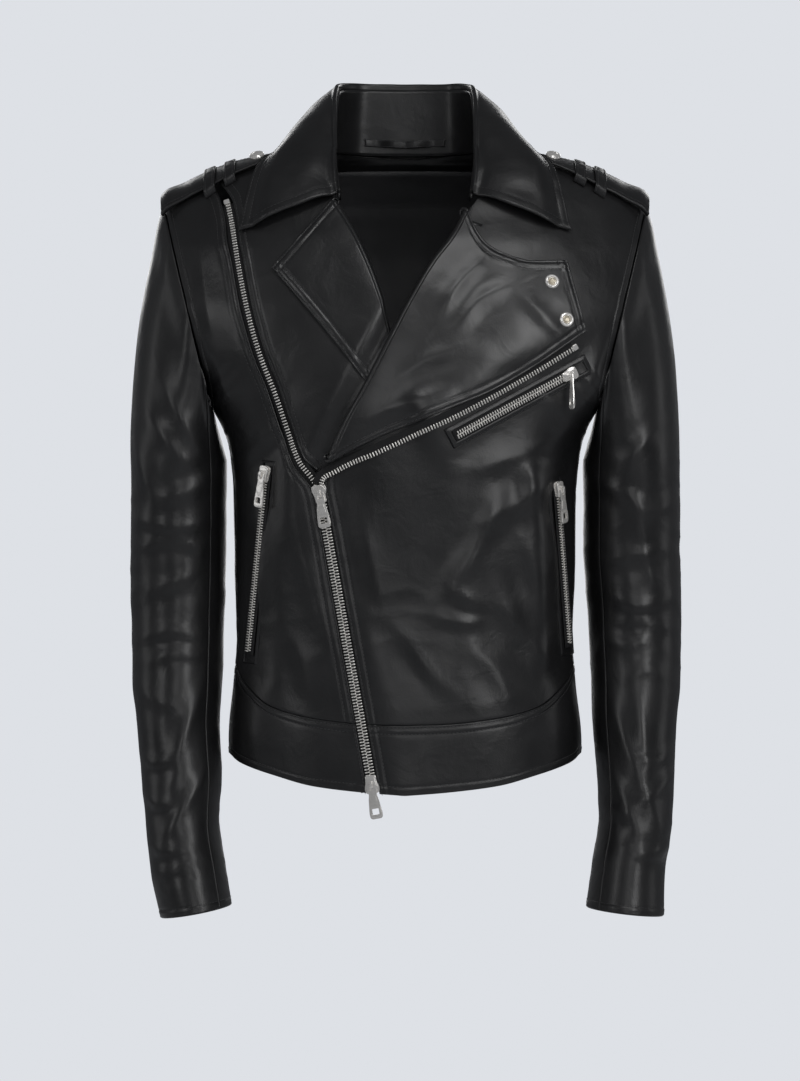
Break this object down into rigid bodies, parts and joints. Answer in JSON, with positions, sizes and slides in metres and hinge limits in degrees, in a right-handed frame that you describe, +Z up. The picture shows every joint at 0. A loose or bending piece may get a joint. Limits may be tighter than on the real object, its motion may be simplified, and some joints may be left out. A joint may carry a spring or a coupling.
{
  "type": "motorcycle jacket",
  "caption": "Black leather riding jacket with an off-centre two-way front zip, folded lapels, shirt collar, shoulder straps, zipped chest and hand pockets and a sewn waistband.",
  "frame": {"origin": "middle of the wearer's neck base, level with the back of the neck opening", "axes": "+Z up, front faces -Y, +X is the wearer's left"},
  "size_m": [0.5069, 0.2472, 0.7656],
  "materials": {
    "leather": "semi-gloss grained",
    "lining": "satin weave",
    "zip_tape": "matte weave",
    "nickel": "polished nickel plate"
  },
  "bodies": {
    "jacket": {"back_panel": "leather", "back_yoke": "leather", "body_lining": "lining", "chest_pocket_bag": "lining", "chest_pocket_welt": "leather", "chest_pocket_zip": "nickel", "chest_stringer_right": "nickel", "collar_leaf": "leather", "collar_stand": "leather", "epaulette_button_left": "nickel", "epaulette_button_right": "nickel", "epaulette_left": "leather", "epaulette_loop_left_1": "leather", "epaulette_loop_left_2": "leather", "epaulette_loop_right_1": "leather", "epaulette_loop_right_2": "leather", "epaulette_right": "leather", "front_left": "leather", "front_right_inner": "leather", "front_right_outer": "leather", "hanger_loop": "leather", "main_tape_left": "zip_tape", "main_tape_right": "zip_tape", "main_teeth_left": "nickel", "main_teeth_right": "nickel", "side_pocket_left_bag": "lining", "side_pocket_left_zip": "nickel", "side_pocket_right_bag": "lining", "side_pocket_right_zip": "nickel", "sleeve_left_top": "leather", "sleeve_left_under": "leather", "sleeve_lining_left": "lining", "sleeve_lining_right": "lining", "sleeve_right_top": "leather", "sleeve_right_under": "leather", "snap_stud_1": "nickel", "snap_stud_2": "nickel", "waistband_back": "leather", "waistband_left": "leather", "waistband_right": "leather"},
    "main_slider_top_body": {"main_slider_top": "nickel"},
    "main_pull_top_body": {"main_pull_top": "nickel"},
    "main_slider_bottom_body": {"main_slider_bottom": "nickel"},
    "main_pull_bottom_body": {"main_pull_bottom": "nickel"},
    "chest_slider_body": {"chest_pocket_slider": "nickel"},
    "chest_pull_body": {"chest_pocket_pull": "nickel"},
    "pocket_right_slider_body": {"side_pocket_right_slider": "nickel"},
    "pocket_right_pull_body": {"side_pocket_right_pull": "nickel"},
    "pocket_left_slider_body": {"side_pocket_left_slider": "nickel"},
    "pocket_left_pull_body": {"side_pocket_left_pull": "nickel"},
    "lapel_left_body": {"lapel_left": "leather", "lapel_zip_row": "nickel", "snap_socket_1": "nickel", "snap_socket_2": "nickel"},
    "lapel_right_body": {"lapel_right": "leather"}
  },
  "joints": [
    {"name": "main_top_zip", "type": "slide", "parent": "jacket", "child": "main_slider_top_body", "axis": [0.1758, -0.0269, -0.9841], "range_m": [0, 0.14], "deforming": ["main_teeth_left", "main_teeth_right"]},
    {"name": "main_top_pull", "type": "hinge", "parent": "main_slider_top_body", "child": "main_pull_top_body", "pos_m": [-0.07715, -0.1115, -0.30297], "axis": [-0.9682, 0.1762, -0.1778], "range_deg": [0, 165]},
    {"name": "main_bottom_zip", "type": "slide", "parent": "jacket", "child": "main_slider_bottom_body", "axis": [-0.1758, 0.0269, 0.9841], "range_m": [0, 0.075], "deforming": ["main_teeth_left", "main_teeth_right"]},
    {"name": "main_bottom_pull", "type": "hinge", "parent": "main_slider_bottom_body", "child": "main_pull_bottom_body", "pos_m": [-0.03056, -0.11862, -0.56375], "axis": [-0.9682, 0.1762, -0.1778], "range_deg": [0, 165]},
    {"name": "chest_pocket_slide", "type": "slide", "parent": "jacket", "child": "chest_slider_body", "axis": [-0.843, -0.2774, -0.4609], "range_m": [0, 0.112], "deforming": ["chest_pocket_zip"]},
    {"name": "chest_pocket_pull_swing", "type": "hinge", "parent": "chest_slider_body", "child": "chest_pull_body", "pos_m": [0.15035, -0.09287, -0.19572], "axis": [-0.939, -0.3439, 0], "range_deg": [0, 110]},
    {"name": "pocket_right_slide", "type": "slide", "parent": "jacket", "child": "pocket_right_slider_body", "axis": [-0.1002, 0.1481, -0.9839], "range_m": [0, 0.15], "deforming": ["side_pocket_right_zip"]},
    {"name": "pocket_right_pull_swing", "type": "hinge", "parent": "pocket_right_slider_body", "child": "pocket_right_pull_body", "pos_m": [-0.12952, -0.08742, -0.28466], "axis": [-0.6542, 0.7353, 0.1773], "range_deg": [0, 165]},
    {"name": "pocket_left_slide", "type": "slide", "parent": "jacket", "child": "pocket_left_slider_body", "axis": [0.0806, 0.1783, -0.9807], "range_m": [0, 0.13], "deforming": ["side_pocket_left_zip"]},
    {"name": "pocket_left_pull_swing", "type": "hinge", "parent": "pocket_left_slider_body", "child": "pocket_left_pull_body", "pos_m": [0.1423, -0.07261, -0.29866], "axis": [-0.5087, -0.8387, -0.1943], "range_deg": [0, 165]},
    {"name": "lapel_left_lift", "type": "hinge", "parent": "jacket", "child": "lapel_left_body", "pos_m": [-0.00378, -0.10367, -0.15205], "axis": [-0.4773, -0.1644, -0.8632], "range_deg": [0, 40], "deforming": ["lapel_left", "lapel_zip_row"]},
    {"name": "lapel_right_lift", "type": "hinge", "parent": "jacket", "child": "lapel_right_body", "pos_m": [-0.03305, -0.09515, -0.10294], "axis": [-0.3381, 0.3288, 0.8818], "range_deg": [0, 35], "deforming": ["lapel_right"]}
  ]
}
